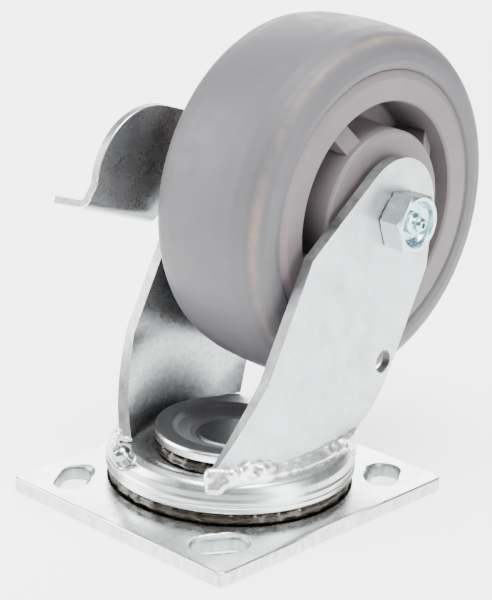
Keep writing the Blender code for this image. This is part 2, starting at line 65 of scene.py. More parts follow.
JOINTS = {joint["name"]: joint for joint in frame["joints"]}
AXLE = Vector(JOINTS["wheel_spin"]["pos_m"]) / MM
PLATE_X, PLATE_Y = high("mounting_plate").x, high("mounting_plate").y
RACE_TOP = high("mounting_plate").z
PLATE_T = 5.0
BASE_R, BASE_LOW, BASE_TOP = high("yoke_base").x, low("yoke_base").z, high("yoke_base").z
RETAINER_R, RETAINER_TOP = high("retainer_washer").x, high("retainer_washer").z
PIN_HEAD_TOP = high("kingpin").z
LOWER_Z = (low("lower_ball_row").z + high("lower_ball_row").z) / 2
UPPER_Z = (low("upper_ball_row").z + high("upper_ball_row").z) / 2
LEG_OUT_X, LEG_FOOT_Z = high("near_leg").x, low("near_leg").z
EYE_R = 19.7
EYE_Y, EYE_Z = AXLE.y - 0.7, high("near_leg").z - EYE_R
TREAD_R, TREAD_X = high("tread").z - AXLE.z, high("tread").x
BOSS_X = high("wheel_core").x
HEAD_OUT_X = high("axle_bolt").x
LEVER_IN_X = high("brake_lever").x
NUT_X = (low("axle_nut").x, high("axle_nut").x)
NUT_WASHER_X = (low("nut_washer").x, high("nut_washer").x)
AXLE_END_X = low("axle_bolt").x


# ---- mesh helpers

def arc(centre, radius, start, end, count):
    """Points on an arc; angles in degrees, from the first axis towards the second."""
    points = []
    for i in range(count + 1):
        angle = math.radians(start + (end - start) * i / count)
        points.append((centre[0] + radius * math.cos(angle), centre[1] + radius * math.sin(angle)))
    return points


def filleted(corners, closed=True, steps=5):
    """Round the corners of an outline: each is (a, b) or (a, b, radius)."""
    points = []
    count = len(corners)
    for i, corner in enumerate(corners):
        here = Vector(corner[:2])
        radius = corner[2] if len(corner) > 2 else 0.0
        if radius == 0.0 or (not closed and i in (0, count - 1)):
            points.append(tuple(here))
            continue
        before = Vector(corners[i - 1][:2]) - here
        after = Vector(corners[(i + 1) % count][:2]) - here
        half = before.angle(after) / 2
        reach = min(radius / math.tan(half), before.length * 0.49, after.length * 0.49)
        start = here + before.normalized() * reach
        end = here + after.normalized() * reach
        for step in range(steps + 1):
            t = step / steps
            points.append(tuple((1 - t) ** 2 * start + 2 * t * (1 - t) * here + t * t * end))
    return points


def shade(mesh, sharp_from):
    """Shade smoothly, but keep the edges that turn by more than an angle in degrees."""
    mesh.shade_smooth()
    mesh.set_sharp_from_angle(angle=math.radians(sharp_from))


def linked_mesh(name, bm, finish):
    """Turn a bmesh in millimetres into an object in metres; faces keep their direction."""
    bmesh.ops.scale(bm, vec=(MM, MM, MM), verts=bm.verts)
    mesh = bpy.data.meshes.new(name)
    bm.to_mesh(mesh)
    bm.free()
    made = bpy.data.objects.new(name, mesh)
    bpy.context.scene.collection.objects.link(made)
    for one in finish if isinstance(finish, (list, tuple)) else [finish]:
        mesh.materials.append(one)
    return made


def mesh_object(name, bm, finish, smooth_angle=35.0):
    """A linked mesh whose faces all look outwards."""
    bmesh.ops.recalc_face_normals(bm, faces=bm.faces)
    made = linked_mesh(name, bm, finish)
    shade(made.data, smooth_angle)
    return made


def skin(bm, rings, closed, ends=False):
    """Join rings of equal length with quads; closed joins the last ring to the first."""
    rows = [[bm.verts.new(p) for p in ring] for ring in rings]
    pairs = list(zip(rows, rows[1:]))
    if closed:
        pairs.append((rows[-1], rows[0]))
    for first, second in pairs:
        for i in range(len(first)):
            k = (i + 1) % len(first)
            bm.faces.new((first[i], first[k], second[k], second[i]))
    if ends:
        bm.faces.new(rows[0])
        bm.faces.new(rows[-1])
    return rows


def skinned(name, rings, finish, closed=False, smooth_angle=35.0):
    """An object from rings; open rows of rings are capped at both ends."""
    bm = bmesh.new()
    skin(bm, rings, closed, ends=not closed)
    return mesh_object(name, bm, finish, smooth_angle)


def about_z(radius, turn, height):
    return (radius * math.cos(turn), radius * math.sin(turn), height)


def about_axle(radius, turn, x):
    return (x, AXLE.y + radius * math.cos(turn), AXLE.z + radius * math.sin(turn))


def lathe(name, profile, steps, finish, place=about_z, closed=True, smooth_angle=35.0):
    """Turn a (radius, height) outline; an open one starts and ends on the axis."""
    bm = bmesh.new()
    turns = [2 * math.pi * i / steps for i in range(steps)]
    rings = [[place(r, turn, z) for turn in turns] for r, z in profile if r > 0.0]
    rows = skin(bm, rings, closed)
    if not closed:
        for pole, row in ((profile[0], rows[0]), (profile[-1], rows[-1])):
            tip = bm.verts.new(place(0.0, 0.0, pole[1]))
            for i in range(steps):
                bm.faces.new((row[i], row[(i + 1) % steps], tip))
    return mesh_object(name, bm, finish, smooth_angle)


def cut(made, tool, operation="DIFFERENCE"):
    """Apply a Boolean at once and throw the tool away."""
    step = made.modifiers.new("cut", "BOOLEAN")
    step.object = tool
    step.operation = operation
    step.solver = "EXACT"
    bake(made)
    bpy.data.objects.remove(tool, do_unlink=True)


def bake(made):
    """Turn the object's modifiers into its mesh."""
    depsgraph = bpy.context.evaluated_depsgraph_get()
    fresh = bpy.data.meshes.new_from_object(made.evaluated_get(depsgraph))
    made.modifiers.clear()
    made.data = fresh


def soften(made, width, angle=50.0, segments=3, corner=-1):
    """Round the sharp edges by a width in millimetres, with a material of their own if asked."""
    step = made.modifiers.new("edges", "BEVEL")
    step.material = corner
    step.width = width * MM
    step.segments = segments
    step.limit_method = "ANGLE"
    step.angle_limit = math.radians(angle)
    step.harden_normals = False
    bake(made)
    shade(made.data, 40.0)


def settle(made, body, slot, *nodes):
    """Hand a finished piece to the frame."""
    flat = made.modifiers.new("even shading", "WEIGHTED_NORMAL")
    flat.keep_sharp = True
    bake(made)
    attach(made, body)
    if nodes:
        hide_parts(*nodes)
    return made


def smoothstep(start, end, value):
    t = min(max((value - start) / (end - start), 0.0), 1.0)
    return t * t * (3.0 - 2.0 * t)


# ---- materials

class Nodes:
    """A material's node tree with short calls for the nodes used here."""

    def __init__(self, name, metallic, roughness):
        self.material = bpy.data.materials.new(name)
        self.material.use_nodes = True
        self.tree = self.material.node_tree
        self.shader = self.tree.nodes["Principled BSDF"]
        self.shader.inputs["Metallic"].default_value = metallic
        self.shader.inputs["Roughness"].default_value = roughness
        self.place = self.tree.nodes.new("ShaderNodeTexCoord").outputs["Object"]

    def link(self, source, node, socket):
        self.tree.links.new(source, node.inputs[socket])

    def stretched(self, x, y, z, turn=(0.0, 0.0, 0.0)):
        node = self.tree.nodes.new("ShaderNodeMapping")
        node.inputs["Scale"].default_value = (x, y, z)
        node.inputs["Rotation"].default_value = tuple(math.radians(a) for a in turn)
        self.link(self.place, node, "Vector")
        return node.outputs["Vector"]

    def noise(self, scale, detail=4.0, rough=0.55, where=None, distort=0.0):
        node = self.tree.nodes.new("ShaderNodeTexNoise")
        node.inputs["Scale"].default_value = scale
        node.inputs["Detail"].default_value = detail
        node.inputs["Roughness"].default_value = rough
        node.inputs["Distortion"].default_value = distort
        self.link(where or self.place, node, "Vector")
        return node.outputs["Fac"]

    def ramp(self, source, *stops):
        """Map a value: stops are (position, grey value or colour)."""
        node = self.tree.nodes.new("ShaderNodeValToRGB")
        elements = node.color_ramp.elements
        while len(elements) < len(stops):
            elements.new(0.5)
        for element, (position, value) in zip(elements, stops):
            colour = value if isinstance(value, tuple) else (value, value, value)
            element.position = position
            element.color = (*colour, 1.0)
        self.link(source, node, "Fac")
        return node.outputs["Color"]

    def mix(self, share, first, second, mode="MIX"):
        node = self.tree.nodes.new("ShaderNodeMix")
        node.data_type = "RGBA"
        node.blend_type = mode
        for socket, value in ((0, share), (6, first), (7, second)):
            if isinstance(value, (int, float)):
                node.inputs[socket].default_value = value
            elif isinstance(value, tuple):
                node.inputs[socket].default_value = (*value, 1.0)
            else:
                self.link(value, node, socket)
        return node.outputs[2]

    def colour(self, source):
        self.link(source, self.shader, "Base Color")

    def roughness(self, source, low, high, start=0.3, end=0.7):
        self.link(self.ramp(source, (start, low), (end, high)), self.shader, "Roughness")

    def bumps(self, *layers):
        """Stack (height source, depth in millimetres) layers."""
        normal = None
        for source, depth in layers:
            node = self.tree.nodes.new("ShaderNodeBump")
            node.inputs["Strength"].default_value = 1.0
            node.inputs["Distance"].default_value = depth * MM
            self.link(source, node, "Height")
            if normal is not None:
                self.link(normal, node, "Normal")
            normal = node.outputs["Normal"]
        self.link(normal, self.shader, "Normal")


def zinc(name, light, dark, rough, mottle=90.0, grain=(1.0, 1.0, 1.0), scratches=0.5,
         wave=0.10, pits=1.0):
    """Satin zinc plating: cloudy, faintly blue, pitted, scratched along the grain."""
    made = Nodes(name, 1.0, sum(rough) / 2)
    clouds = made.noise(mottle, 6.0, 0.62)
    tint = made.noise(22.0, 2.0, 0.5)
    tone = made.mix(made.ramp(clouds, (0.3, 0.0), (0.72, 1.0)), dark, light)
    cool = (light[0] * 0.93, light[1], light[2] * 1.02)
    tone = made.mix(made.ramp(tint, (0.45, 0.0), (0.75, 0.6)), tone, cool)
    specks = made.ramp(made.noise(900.0, 3.0, 0.7), (0.28, 1.0 - pits), (0.36, 1.0))
    tone = made.mix(specks, (dark[0] * 0.62, dark[1] * 0.6, dark[2] * 0.58), tone)
    streak_place = made.stretched(*grain)
    streaks = made.noise(260.0, 5.0, 0.7, streak_place, 0.3)
    lines = made.ramp(streaks, (0.30, 0.0), (0.37, 1.0))
    tone = made.mix(made.ramp(lines, (0.0, scratches * 0.5), (1.0, 0.0)), tone, (0.30, 0.31, 0.32))
    made.colour(tone)
    wear = made.noise(mottle * 2.6, 5.0, 0.6)
    made.roughness(wear, rough[0], rough[1])
    made.bumps((clouds, wave), (made.noise(1400.0, 3.0, 0.6), 0.012), (streaks, 0.02), (specks, 0.02))
    return made.material


def sheared(name, tone):
    """The matt, streaky face left by a shear or a die."""
    made = Nodes(name, 1.0, 0.45)
    streaks = made.noise(500.0, 4.0, 0.7, made.stretched(1.0, 1.0, 0.25))
    patches = made.noise(120.0, 4.0, 0.6)
    dark = tuple(c * 0.66 for c in tone)
    made.colour(made.mix(made.ramp(streaks, (0.35, 0.0), (0.65, 1.0)), dark, tone))
    made.roughness(patches, 0.34, 0.56)
    made.bumps((patches, 0.08), (streaks, 0.05))
    return made.material


def turned_steel(name, light, dark, rough, rings=0.02):
    """Machined or oiled steel with faint turning marks and stains."""
    made = Nodes(name, 1.0, sum(rough) / 2)
    stains = made.noise(70.0, 3.0, 0.5)
    made.colour(made.mix(made.ramp(stains, (0.32, 0.0), (0.66, 1.0)), dark, light))
    smears = made.noise(420.0, 4.0, 0.6)
    made.roughness(smears, rough[0], rough[1])
    made.bumps((made.noise(2200.0, 3.0, 0.6), rings), (stains, rings))
    return made.material


def weld_metal():
    """Bright plated weld, pitted and sooty in patches."""
    made = Nodes("weld_metal", 1.0, 0.26)
    soot = made.noise(260.0, 4.0, 0.6)
    fine = made.noise(1100.0, 4.0, 0.6)
    made.colour(made.ramp(soot, (0.30, (0.34, 0.35, 0.37)), (0.40, (0.86, 0.87, 0.88)),
                          (0.70, (0.97, 0.97, 0.97))))
    made.roughness(fine, 0.28, 0.46)
    made.bumps((soot, 0.10), (fine, 0.03))
    return made.material


def grease():
    """Brown grease, glossy and uneven."""
    made = Nodes("brown_grease", 0.0, 0.25)
    lumps = made.noise(420.0, 4.0, 0.6)
    made.colour(made.ramp(lumps, (0.32, (0.008, 0.006, 0.004)), (0.7, (0.040, 0.029, 0.016))))
    made.roughness(lumps, 0.22, 0.42)
    made.shader.inputs["Coat Weight"].default_value = 0.2
    made.bumps((lumps, 0.18), (made.noise(1500.0, 3.0, 0.6), 0.02))
    return made.material


def ball_steel():
    """Polished balls smeared with grease, their colour darkened nearly to black as painted shade of the
    gap they sit in.
    """
    made = Nodes("greasy_shaded_ball_steel", 1.0, 0.2)
    smears = made.noise(520.0, 4.0, 0.6)
    made.colour(made.ramp(smears, (0.42, (0.02, 0.015, 0.009)), (0.66, (0.12, 0.10, 0.07))))
    made.roughness(smears, 0.40, 0.20, 0.35, 0.65)
    made.bumps((smears, 0.03))
    return made.material


def core_plastic():
    """Moulded polyolefin, pinkish grey with a fine satin skin and flow marks."""
    made = Nodes("core_plastic", 0.0, 0.5)
    flow = made.noise(45.0, 4.0, 0.6, distort=0.6)
    fine = made.noise(1800.0, 3.0, 0.6)
    scuffs = made.ramp(made.noise(240.0, 6.0, 0.75), (0.60, 0.0), (0.78, 0.35))
    tone = made.ramp(flow, (0.3, (0.126, 0.109, 0.113)), (0.7, (0.151, 0.132, 0.137)))
    made.colour(made.mix(scuffs, tone, (0.20, 0.18, 0.18)))
    made.roughness(fine, 0.40, 0.58)
    made.shader.inputs["Specular IOR Level"].default_value = 0.42
    made.bumps((fine, 0.012), (flow, 0.05))
    return made.material


def grey_rubber():
    """Grey tread rubber: satin, faint streaks round the wheel, browned shoulders, dust."""
    made = Nodes("grey_rubber", 0.0, 0.5)
    clouds = made.noise(30.0, 4.0, 0.6, distort=0.4)
    fine = made.noise(2400.0, 3.0, 0.65)
    bands = made.noise(900.0, 3.0, 0.6, made.stretched(1.0, 0.02, 0.02))
    tone = made.ramp(clouds, (0.3, (0.080, 0.077, 0.085)), (0.7, (0.094, 0.091, 0.099)))
    tone = made.mix(made.ramp(bands, (0.35, 0.10), (0.65, 0.0)), tone, (0.08, 0.08, 0.085))
    tone = made.mix(shoulder_stain(made), tone, (0.27, 0.205, 0.15))
    dust = made.ramp(made.noise(1500.0, 2.0, 0.5), (0.76, 0.0), (0.78, 0.6))
    made.colour(made.mix(dust, tone, (0.40, 0.39, 0.38)))
    made.roughness(made.noise(150.0, 5.0, 0.6), 0.42, 0.58)
    made.shader.inputs["Specular IOR Level"].default_value = 0.45
    made.bumps((fine, 0.012), (bands, 0.015), (clouds, 0.06))
    return made.material


def shoulder_stain(made):
    """A brownish line where the mould halves part, just inside each shoulder."""
    split = made.tree.nodes.new("ShaderNodeSeparateXYZ")
    made.link(made.place, split, "Vector")
    side = made.tree.nodes.new("ShaderNodeMath")
    side.operation = "ABSOLUTE"
    made.link(split.outputs["X"], side, 0)
    share = made.tree.nodes.new("ShaderNodeMapRange")
    share.inputs["From Max"].default_value = TREAD_X * MM
    made.link(side.outputs[0], share, "Value")
    line = made.ramp(share.outputs["Result"], (0.80, 0.0), (0.86, 1.0), (0.885, 1.0), (0.93, 0.0))
    patchy = made.ramp(made.noise(55.0, 4.0, 0.7), (0.35, 0.05), (0.70, 0.62))
    return made.mix(1.0, line, patchy, "MULTIPLY")


def black_nylon():
    """Moulded roller cage."""
    made = Nodes("black_nylon", 0.0, 0.45)
    fine = made.noise(1500.0, 3.0, 0.6)
    made.colour(made.ramp(fine, (0.3, (0.020, 0.020, 0.022)), (0.7, (0.034, 0.034, 0.037))))
    made.roughness(made.noise(300.0), 0.38, 0.55)
    made.bumps((fine, 0.01))
    return made.material


ZINC = zinc("zinc_plate", (0.62, 0.64, 0.655), (0.44, 0.46, 0.475), (0.32, 0.46),
            grain=(1.0, 1.0, 0.12))
# Leg inner faces: zinc with a finer grain, toned darker than the outer faces as painted shade.
ZINC_INNER_SHADED = zinc("zinc_inner_shaded", (0.56, 0.57, 0.58), (0.34, 0.35, 0.36), (0.25, 0.36), mottle=520.0,
                  scratches=0.2, wave=0.05, pits=0.5)
ZINC_EDGE = sheared("zinc_edge", (0.80, 0.80, 0.80))
# Same sheared zinc on both legs' cut edges: the near copy is darkened as painted shade, the far copy is
# lighter as painted light.
NEAR_EDGE_SHADED = sheared("leg_edge", (0.26, 0.265, 0.27))
FAR_EDGE_LIT = sheared("far_leg_edge", (0.52, 0.525, 0.53))
# Lever cut edge: the sheared zinc darkened as painted shade.
LEVER_EDGE_SHADED = sheared("lever_edge_shaded", (0.32, 0.33, 0.335))
# Near-white steel on the rounded corners of the cut edges: a painted highlight.
EDGE_HIGHLIGHT = turned_steel("painted_edge_highlight", (0.97, 0.97, 0.97), (0.84, 0.84, 0.84), (0.12, 0.22))
# Slot walls: the sheared zinc, darker and teal-grey, as painted shade inside the slots.
SLOT_WALL_SHADED = sheared("slot_wall_shaded", (0.46, 0.50, 0.50))
ZINC_PLATE = zinc("zinc_rolled", (0.84, 0.85, 0.85), (0.64, 0.65, 0.65), (0.18, 0.34), mottle=60.0,
                  wave=0.05)
ZINC_PRESSED = zinc("zinc_pressed", (0.72, 0.73, 0.73), (0.58, 0.59, 0.59), (0.24, 0.36), mottle=50.0,
                    scratches=0.2, wave=0.05)
BRIGHT_ZINC = zinc("bright_zinc", (0.66, 0.72, 0.72), (0.50, 0.56, 0.57), (0.20, 0.30), mottle=120.0,
                   scratches=0.2, wave=0.03)
CYAN_ZINC = zinc("cyan_zinc", (0.58, 0.74, 0.78), (0.44, 0.60, 0.66), (0.16, 0.26), mottle=120.0,
                 scratches=0.1, wave=0.02)
ZINC_LEVER = zinc("zinc_lever", (0.54, 0.56, 0.56), (0.46, 0.48, 0.48), (0.24, 0.31), mottle=70.0,
                  scratches=0.1, wave=0.02, pits=0.1)
DARK_STEEL = turned_steel("dark_oiled_steel", (0.66, 0.67, 0.69), (0.58, 0.59, 0.61), (0.28, 0.31),
                          rings=0.004)
FITTING_STEEL = turned_steel("fitting_steel", (0.50, 0.52, 0.53), (0.40, 0.42, 0.43), (0.20, 0.28),
                             rings=0.004)
PIN_STEEL = turned_steel("pin_steel", (0.38, 0.395, 0.405), (0.34, 0.35, 0.358), (0.28, 0.34),
                         rings=0.008)
WASHER_RIM = turned_steel("washer_rim_steel", (0.88, 0.88, 0.88), (0.62, 0.63, 0.64), (0.18, 0.30))
WELD = weld_metal()
GREASE = grease()
BALLS = ball_steel()
CORE = core_plastic()
RUBBER = grey_rubber()
NYLON = black_nylon()


# ---- mounting plate

SLOT_CENTRE, SLOT_TRAVEL, SLOT_W = (35.7, 42.05), (4.8, -7.9), 10.3
RACE_R, DOME_RISE, DOME_FOOT_R = 43.4, 1.1, 60.0
PLATE_BRINK, PLATE_LOOPS, SHEARED_FROM_R = 0.8, 16, 45.0


def plate_outline(inset, corner=3.0):
    """The plate's rounded rectangle, at a distance inside its edge."""
    x, y, r = PLATE_X - inset, PLATE_Y - inset, max(corner - inset, 0.4)
    points = []
    x, y = x - r, y - r
    for start, centre in ((0, (x, y)), (90, (-x, y)), (180, (-x, -y)), (270, (x, -y))):
        points += arc(centre, r, start, start + 90, 7)
    full = []
    for i, point in enumerate(points):
        following = points[(i + 1) % len(points)]
        gap = math.dist(point, following)
        pieces = max(1, round(gap / 3.2)) if gap > 10.0 else 1
        for step in range(pieces):
            t = step / pieces
            full.append(tuple(a + (b - a) * t for a, b in zip(point, following)))
    return full


def plate_height(x, y):
    """The pressed plate rises softly towards its raceway."""
    return PLATE_T + DOME_RISE * smoothstep(DOME_FOOT_R, RACE_R, math.hypot(x, y))


def mounting_plate():
    """Rolled plate with its raceway, centre hole and four slanted slots."""
    outer = plate_outline(0.0)
    edge = [(0.5, 0.0, False), (0.12, 0.12, False), (0.0, 0.5, False), (0.0, PLATE_T - 0.8, False)]
    edge += [(0.1, PLATE_T - 0.35, False), (0.35, -0.1, True), (PLATE_BRINK, 0.0, True)]
    rings = []
    for inset, height, on_top in edge:
        ring = []
        for (x, y), (ox, oy) in zip(plate_outline(inset), outer):
            ring.append((x, y, height + plate_height(ox, oy) if on_top else height))
        rings.append(ring)
    brink = plate_outline(PLATE_BRINK)
    for i in range(1, PLATE_LOOPS + 1):
        t = i / PLATE_LOOPS
        ring = []
        for x, y in brink:
            away = math.hypot(x, y)
            target = away + (RACE_R - away) * t
            px, py = x * target / away, y * target / away
            ring.append((px, py, plate_height(px, py)))
        rings.append(ring)
    race = filleted([(43.2, RACE_TOP + 0.2, 0.3), (42.5, RACE_TOP - 0.2), (40.9, 4.25), (39.0, 3.8),
                     (37.1, 4.25), (35.5, RACE_TOP, 0.3), (12.9, RACE_TOP), (8.4, RACE_TOP, 0.3),
                     (8.4, 3.6), (12.7, 0.3), (12.7, 0.0)], closed=False, steps=3)
    for r, z in race:
        rings.append([(x * r / math.hypot(x, y), y * r / math.hypot(x, y), z) for x, y in brink])
    made = skinned("plate_skin", rings, [ZINC_PLATE, ZINC_EDGE, SLOT_WALL_SHADED], True, 40.0)
    paint_sides(made, PLATE_T - 0.4)
    for across in (-1, 1):
        for along in (-1, 1):
            cut(made, slot_cutter(across, along))
    settle(made, "base", "zinc_plate", "mounting_plate")


def paint_sides(made, top):
    """Give the sheared side faces the second material."""
    for face in made.data.polygons:
        outside = face.center.xy.length > SHEARED_FROM_R * MM and face.center.z < top * MM
        if outside and abs(face.normal.z) < 0.5:
            face.material_index = 1


def slot_cutter(across, along):
    """A slot whose upper lip is rolled over by the punch."""
    slant = math.degrees(math.atan2(SLOT_TRAVEL[1] * along, SLOT_TRAVEL[0] * across))
    half = math.hypot(*SLOT_TRAVEL) / 2
    run = (half * math.cos(math.radians(slant)), half * math.sin(math.radians(slant)))
    middle = (SLOT_CENTRE[0] * across, SLOT_CENTRE[1] * along)
    rings = []
    lip = [(7.65, 1.6), (5.85, 1.35), (5.25, 0.85), (4.9, 0.42), (4.45, 0.14), (3.85, 0.0), (0.6, 0.0),
           (-1.0, 0.5)]
    for height, flare in lip:
        reach = SLOT_W / 2 + flare
        ring = arc((middle[0] + run[0], middle[1] + run[1]), reach, slant - 90, slant + 90, 20)
        ring += arc((middle[0] - run[0], middle[1] - run[1]), reach, slant + 90, slant + 270, 20)
        rings.append([(x, y, height) for x, y in ring])
    # The cutter hands its darker wall material to the slot walls: painted shade.
    return skinned("slot_cutter", rings, SLOT_WALL_SHADED)


# ---- swivel bearing

LOWER_PITCH, LOWER_COUNT, LOWER_GROOVE_R = 39.0, 30, 4.25
UPPER_PITCH, UPPER_COUNT, UPPER_GROOVE_R = 23.5, 22, 3.47
WASHER_RIM_R = 26.4
BASE_SHOULDER = ((38.6, BASE_TOP), (40.4, 20.6), (42.4, 18.4), (43.4, 16.0), (BASE_R, 14.9))


def shoulder_height(r):
    """Height of the base's top at a radius, on its shoulder or inside it."""
    for (near_r, near_z), (far_r, far_z) in zip(BASE_SHOULDER, BASE_SHOULDER[1:]):
        if near_r < r <= far_r:
            return near_z + (far_z - near_z) * (r - near_r) / (far_r - near_r)
    return BASE_TOP


def yoke_base():
    """Pressed round base: grooved rim, high rounded shoulder and a race on both sides."""
    rim = BASE_R
    profile = [(28.6, 15.85, 1.0), (30.6, 17.9, 4.0), (35.0, BASE_TOP - 0.3, 5.0),
               (38.3, BASE_TOP + 0.1, 4.0), (41.2, 20.1, 3.0), (42.7, 17.9, 3.0), (43.3, 15.6, 1.5),
               (rim - 0.1, 14.9, 0.4), (rim, 14.4, 0.3), (rim, 13.7, 0.2), (rim - 0.5, 13.4, 0.2),
               (rim - 0.4, 13.0, 0.2), (rim, 12.7, 0.3),
               (rim, 11.25, 0.5), (43.3, BASE_LOW, 0.4), (42.6, BASE_LOW, 0.1)]
    profile += arc((LOWER_PITCH, LOWER_Z), LOWER_GROOVE_R, 36.0, 144.0, 8)
    profile += [(35.0, BASE_LOW), (16.0, BASE_LOW, 0.5), (16.0, 16.25, 0.5), (20.4, 16.25, 0.3)]
    profile += arc((UPPER_PITCH, UPPER_Z), UPPER_GROOVE_R, -145.0, -35.0, 8)
    profile += [(26.8, 16.15, 0.4)]
    made = lathe("base_skin", filleted(profile, steps=4), 200, ZINC_PRESSED)
    settle(made, "fork", "zinc_plate", "yoke_base")


def retainer():
    """Dished top washer: dark oiled face; the turned rim's upright side is brighter steel, a painted
    highlight.
    """
    profile = [(25.9, RETAINER_TOP, 0.5), (26.7, RETAINER_TOP - 0.15, 0.3),
               (RETAINER_R, RETAINER_TOP - 0.9, 0.4), (RETAINER_R, 21.55, 0.4), (26.6, 21.05, 0.3)]
    profile += arc((UPPER_PITCH, UPPER_Z), UPPER_GROOVE_R, 54.0, 180.0, 8)
    profile += [(19.2, 16.85, 0.4), (8.3, 16.85), (8.3, 19.05), (12.6, 19.05), (12.6, 21.65, 0.2),
                (14.6, 22.1, 1.2), (18.8, 23.65, 1.5), (20.8, RETAINER_TOP - 0.05, 1.6)]
    made = lathe("retainer_skin", filleted(profile, steps=5), 160, [DARK_STEEL, WASHER_RIM])
    # Upright faces outside the rim radius take the brighter steel: a painted highlight on the washer's
    # side.
    for face in made.data.polygons:
        if face.center.xy.length > WASHER_RIM_R * MM and abs(face.normal.z) < 0.75:
            face.material_index = 1
    settle(made, "base", "dark_steel", "retainer_washer")


def kingpin():
    """Riveted pin: flat head with a fine rolled edge, flush foot."""
    profile = [(0.0, PIN_HEAD_TOP), (11.4, PIN_HEAD_TOP, 0.3), (11.8, PIN_HEAD_TOP - 0.25, 0.2),
               (12.3, PIN_HEAD_TOP - 0.5, 0.2), (12.3, 19.35), (8.0, 19.35), (8.0, 16.55), (12.5, 16.55),
               (12.5, 5.95), (8.0, 5.95), (8.0, 3.3), (12.3, 0.2), (12.0, 0.0), (0.0, 0.0)]
    made = lathe("kingpin_skin", filleted(profile, closed=False, steps=3), 96, PIN_STEEL, closed=False)
    settle(made, "base", "dark_steel", "kingpin")


def ball_row(name, node, body, pitch, height, radius, count):
    """Separate polished balls, all in one piece that goes round with its CAD row."""
    bm = bmesh.new()
    for i in range(count):
        turn = 2 * math.pi * i / count
        place = Matrix.Translation(about_z(pitch, turn, height)) @ Matrix.Rotation(1.1 * i, 4, "X")
        bmesh.ops.create_uvsphere(bm, u_segments=20, v_segments=12, radius=radius, matrix=place)
    made = mesh_object(name, bm, BALLS)
    settle(made, body, "greasy_steel", node)


def grease_ring(name, body, pitch, height, thick, tall, count, seed):
    """Grease packed round the balls: it bulges over each one and sags between them."""
    steps, sides = count * 10, 18
    rings = []
    for i in range(steps):
        turn = 2 * math.pi * i / steps
        bulge = 0.5 + 0.5 * math.cos(count * turn)
        ring = []
        for j in range(sides):
            around = 2 * math.pi * j / sides
            place = Vector((9.0 * math.cos(turn), 9.0 * math.sin(turn), 2.0 * math.sin(around) + seed))
            lump = 1.0 + 0.07 * noise.noise(place * 1.7) + 0.05 * noise.noise(place * 5.1)
            swell = (0.90 + 0.10 * bulge) * lump
            r = pitch + thick * swell * math.cos(around)
            z = height + tall * (0.9 + 0.1 * bulge) * lump * math.sin(around)
            ring.append(about_z(r, turn, z))
        rings.append(ring)
    settle(skinned(name, rings, GREASE, True), body, "greasy_steel")


# ---- fork legs and welds

LEG_T = 4.0
FRONT_CORNER, REAR_CORNER = (-0.5, 94.15), (60.4, 78.95)
FRONT_SLOPE, REAR_SLOPE = 0.489, 0.48
ROLL_Y, ROLL_CURVATURE = 2.0, 0.0193
ROLL_FRONT_TOP, ROLL_REAR_TOP = 54.5, 62.0
ROLL_FRONT_POWER, ROLL_REAR_POWER = 0.69, 5.0
LEG_HOLE, LEG_HOLE_R, EYE_HOLE_R = (40.2, 48.35), 4.0, 6.65
ROLL_FULL_Z, WELD_REACH = 17.3, 43.35
WELD_STEPS, PUDDLE_END, TAIL_START, SPATTER_COUNT = 160, (0.24, 0.36), (0.62, 0.74), 34


def roll_curvature(z, rear):
    """How tightly a leg is rolled at a height: full at the foot, flat higher up."""
    top = ROLL_REAR_TOP if rear else ROLL_FRONT_TOP
    power = ROLL_REAR_POWER if rear else ROLL_FRONT_POWER
    share = min(max((top - z) / (top - ROLL_FULL_Z), 0.0), 1.0)
    return max(ROLL_CURVATURE * share ** power, 1e-6)


def leg_point(blank_y, z, depth, side):
    """Where a point of the flat blank lands, at a depth under the leg's outer face."""
    along = blank_y - ROLL_Y
    curvature = roll_curvature(z, along > 0.0)
    angle = curvature * along
    x = LEG_OUT_X - (1.0 - math.cos(angle)) / curvature - depth * math.cos(angle)
    y = ROLL_Y + math.sin(angle) / curvature - depth * math.sin(angle)
    return (side * x, y, z)


def leg_edges(z):
    """Front and rear edge of the leg's blank at a height."""
    front_y, front_z = FRONT_CORNER
    rear_y, rear_z = REAR_CORNER
    to_eye = math.hypot(EYE_Y - front_y, EYE_Z - front_z)
    taper = math.asin(EYE_R / to_eye) + math.atan2(EYE_Z - front_z, EYE_Y - front_y)
    tangent_z = EYE_Z + EYE_R * math.cos(taper)
    half_chord = math.sqrt(max(EYE_R ** 2 - (z - EYE_Z) ** 2, 0.0))
    if z < front_z:
        front = front_y - FRONT_SLOPE * (front_z - z)
    elif z < tangent_z:
        front = front_y + (z - front_z) / math.tan(taper)
    else:
        front = EYE_Y - half_chord
    if z < rear_z:
        rear = rear_y - REAR_SLOPE * (rear_z - z)
    elif z < EYE_Z:
        rear = rear_y + (EYE_Y + EYE_R - rear_y) * (z - rear_z) / (EYE_Z - rear_z)
    else:
        rear = EYE_Y + half_chord
    return front, rear


def leg_heights():
    """Heights of a leg's rows, dense enough for the rolled foot and the round eye."""
    marks = [LEG_FOOT_Z, REAR_CORNER[1], FRONT_CORNER[1], EYE_Z]
    heights = []
    for start, end in zip(marks, marks[1:]):
        pieces = max(2, round((end - start) / 2.4))
        heights += [start + (end - start) * i / pieces for i in range(pieces)]
    return heights + [EYE_Z + EYE_R * math.sin(math.radians(a)) for a in range(0, 88, 5)]


